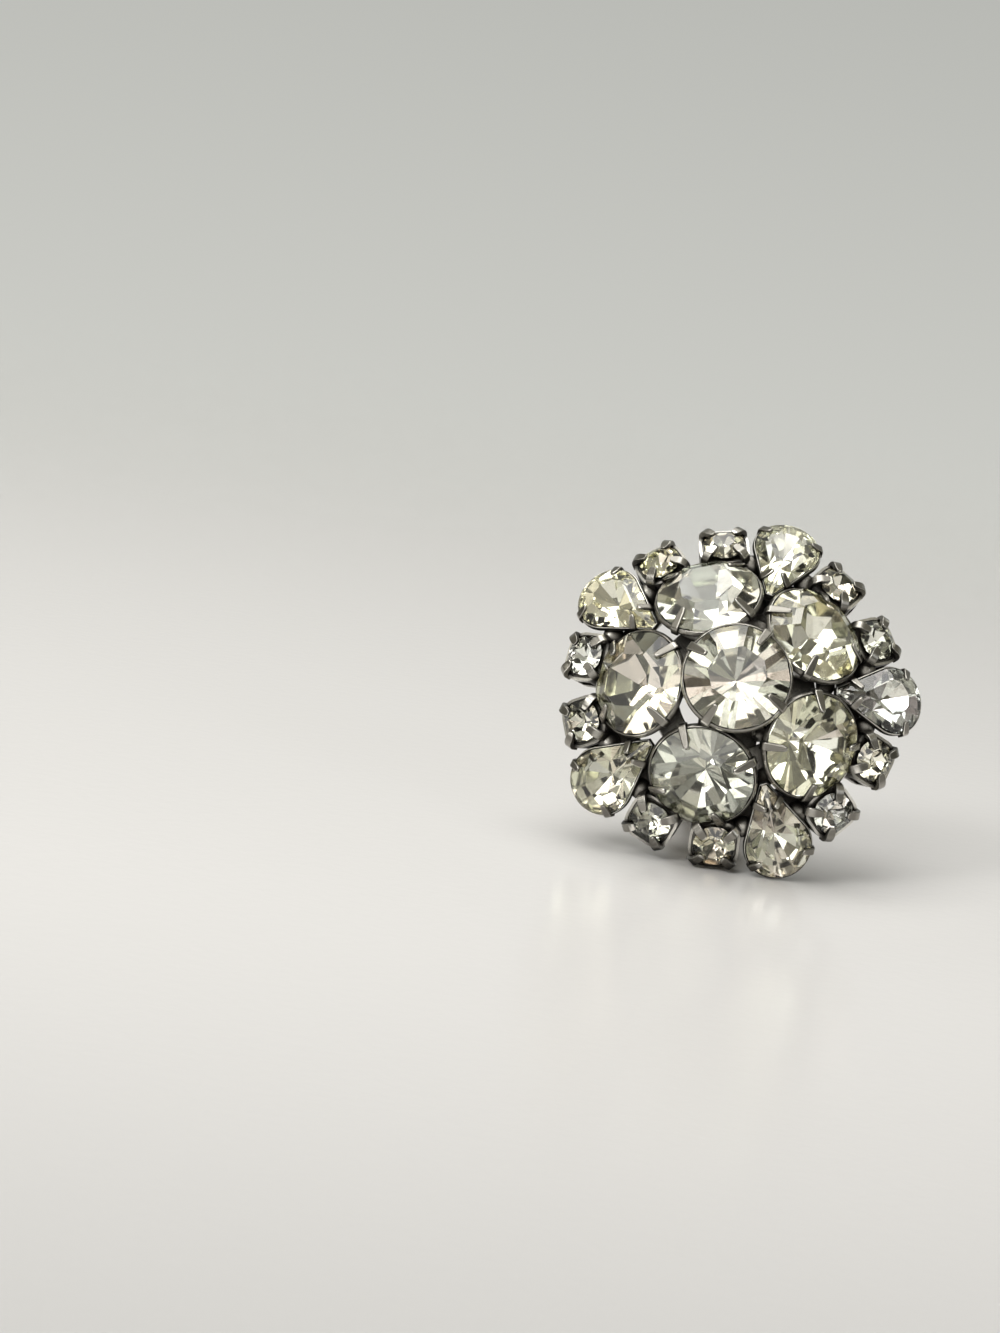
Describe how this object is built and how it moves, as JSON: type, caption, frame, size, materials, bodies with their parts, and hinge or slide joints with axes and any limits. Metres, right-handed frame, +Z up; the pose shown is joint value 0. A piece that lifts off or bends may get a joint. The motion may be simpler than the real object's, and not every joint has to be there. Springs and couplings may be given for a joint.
{
  "type": "rhinestone clip-on earring",
  "caption": "Domed round clip-on earring of clear faceted glass stones in soldered claw cups, with a hinged clip lever open behind it as a stand.",
  "frame": {"origin": "middle of the footprint's box, on the table that the earring stands on", "axes": "+Z up; the face looks along -Y and leans back 22 degrees; +X is to the right of the face; the clip's hinge runs along X"},
  "size_m": [0.0298, 0.0257, 0.0274],
  "materials": {
    "plated_metal": "rhodium-plated brass, aged and slightly tarnished",
    "pin_steel": "plain steel wire, riveted",
    "foiled_glass": "cut glass with a silver foil back, slightly yellowed"
  },
  "bodies": {
    "earring": {"setting": "plated_metal", "hinge_pin": "pin_steel", "stone_middle": "foiled_glass", "stone_ring_1": "foiled_glass", "stone_ring_2": "foiled_glass", "stone_ring_3": "foiled_glass", "stone_ring_4": "foiled_glass", "stone_ring_5": "foiled_glass", "stone_pear_1": "foiled_glass", "stone_pear_2": "foiled_glass", "stone_pear_3": "foiled_glass", "stone_pear_4": "foiled_glass", "stone_pear_5": "foiled_glass", "stone_small_1": "foiled_glass", "stone_small_2": "foiled_glass", "stone_small_3": "foiled_glass", "stone_small_4": "foiled_glass", "stone_small_5": "foiled_glass", "stone_small_6": "foiled_glass", "stone_small_7": "foiled_glass", "stone_small_8": "foiled_glass", "stone_small_9": "foiled_glass", "stone_small_10": "foiled_glass"},
    "clip": {"clip_lever": "plated_metal"}
  },
  "joints": [
    {"name": "clip_hinge", "type": "hinge", "parent": "earring", "child": "clip", "pos_m": [-0.0005, -0.00098, 0.00593], "axis": [1, 0, 0], "range_deg": [0, 90]}
  ]
}
